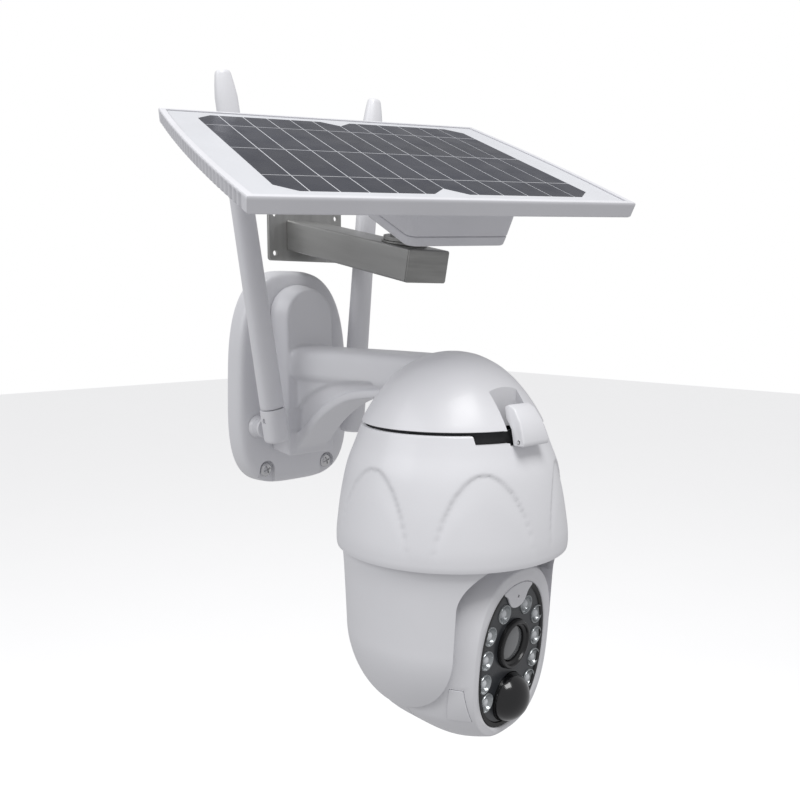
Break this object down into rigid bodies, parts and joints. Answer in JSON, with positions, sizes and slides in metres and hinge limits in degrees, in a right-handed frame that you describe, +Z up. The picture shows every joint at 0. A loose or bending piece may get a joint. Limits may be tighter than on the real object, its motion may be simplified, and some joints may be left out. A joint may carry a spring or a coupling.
{
  "type": "solar security camera",
  "caption": "Wall-mounted pan and tilt security camera with swivelling antennas, a curved arm, and a solar panel with battery box on a raked wall bracket above it.",
  "frame": {"origin": "centre of the wall plate's back face, on the wall plane", "axes": "+Z up, +Y into the wall, -Y out along the arm, +X to the right for someone who faces the wall"},
  "size_m": [0.2348, 0.2464, 0.3745],
  "materials": {
    "white_plastic": "satin",
    "soft_rubber": "matte",
    "steel": "brushed",
    "screw_steel": "polished",
    "black_plastic": "gloss",
    "smoked_window": "gloss",
    "lens_glass": "coated",
    "led_board": "matte",
    "circuit_board": "matte",
    "battery_sleeve": "satin",
    "motor_can": "satin",
    "gear_plastic": "matte",
    "brass": "machined",
    "solar_cells": "gloss"
  },
  "bodies": {
    "root": {"wall_plate": "white_plastic", "plate_screw_left": "screw_steel", "plate_screw_right": "screw_steel", "arm_bracket": "white_plastic", "antenna_connector_left": "white_plastic", "antenna_connector_right": "white_plastic", "top_cap": "white_plastic", "seam_seal": "soft_rubber", "head_shell": "white_plastic", "latch_pin": "screw_steel", "pan_base": "white_plastic", "pan_bearing": "brass", "pan_motor": "motor_can", "main_board": "circuit_board", "battery_cell_1": "battery_sleeve", "battery_cell_2": "battery_sleeve", "bracket_flange": "steel", "bracket_tube": "steel", "tube_plug": "steel", "swivel_shoe": "steel"},
    "antenna_left": {"antenna_knuckle_left": "white_plastic", "antenna_rod_left": "white_plastic"},
    "antenna_right": {"antenna_knuckle_right": "white_plastic", "antenna_rod_right": "white_plastic"},
    "seam_latch": {"latch": "white_plastic"},
    "pan_drive": {"pan_pinion": "brass"},
    "pan_head": {"pan_bowl": "white_plastic", "pan_gear": "gear_plastic", "tilt_gear": "gear_plastic", "tilt_pivot": "steel"},
    "tilt_head": {"tilt_front": "white_plastic", "tilt_rear": "white_plastic", "card_cover": "white_plastic", "led_board": "led_board", "front_window": "smoked_window", "lens_barrel": "black_plastic", "lens_glass": "lens_glass", "sensor_board": "circuit_board", "pir_dome": "black_plastic", "pir_sensor": "motor_can", "microphone": "motor_can", "tilt_motor": "motor_can"},
    "tilt_drive": {"tilt_pinion": "brass"},
    "panel_swivel_base": {"swivel_disc": "steel", "tilt_pin": "screw_steel"},
    "panel": {"panel_frame": "white_plastic", "solar_laminate": "solar_cells", "battery_case": "white_plastic", "battery_lid": "white_plastic", "charge_board": "circuit_board", "panel_cell_1": "battery_sleeve", "panel_cell_2": "battery_sleeve"}
  },
  "joints": [
    {"name": "antenna_left_swivel", "type": "hinge", "parent": "root", "child": "antenna_left", "pos_m": [-0.032, -0.035, -0.031], "axis": [0, 1, 0], "range_deg": [-80, 12]},
    {"name": "antenna_right_swivel", "type": "hinge", "parent": "root", "child": "antenna_right", "pos_m": [0.032, -0.035, -0.031], "axis": [0, 1, 0], "range_deg": [0, 80]},
    {"name": "latch_swing", "type": "hinge", "parent": "root", "child": "seam_latch", "pos_m": [0, -0.2177, -0.0194], "axis": [1, 0, 0], "range_deg": [0, 60]},
    {"name": "head_pan", "type": "hinge", "parent": "root", "child": "pan_head", "pos_m": [0, -0.1617, -0.0735], "axis": [0, 0, 1], "range_deg": [-175, 175]},
    {"name": "pan_drive_spin", "type": "hinge", "parent": "root", "child": "pan_drive", "pos_m": [0, -0.12795, -0.069], "axis": [0, 0, 1], "range_deg": [-540.91, 540.91]},
    {"name": "lens_tilt", "type": "hinge", "parent": "pan_head", "child": "tilt_head", "pos_m": [0, -0.1617, -0.136], "axis": [0.994, 0.1097, 0], "range_deg": [-12, 80]},
    {"name": "tilt_drive_spin", "type": "hinge", "parent": "tilt_head", "child": "tilt_drive", "pos_m": [-0.00221, -0.14165, -0.13423], "axis": [0.994, 0.1097, 0], "range_deg": [-24, 160]},
    {"name": "panel_swivel", "type": "hinge", "parent": "root", "child": "panel_swivel_base", "pos_m": [0.0185, -0.10242, 0.08607], "axis": [-0.0877, -0.1753, 0.9806], "range_deg": [-5, 30]},
    {"name": "panel_tilt", "type": "hinge", "parent": "panel_swivel_base", "child": "panel", "pos_m": [0.01727, -0.10487, 0.09979], "axis": [0.9612, -0.2734, 0.0371], "range_deg": [-12, 5]}
  ],
  "couplings": [
    {"joint": "pan_drive_spin", "follows": "head_pan", "ratio": -3.0909},
    {"joint": "tilt_drive_spin", "follows": "lens_tilt", "ratio": 2}
  ]
}
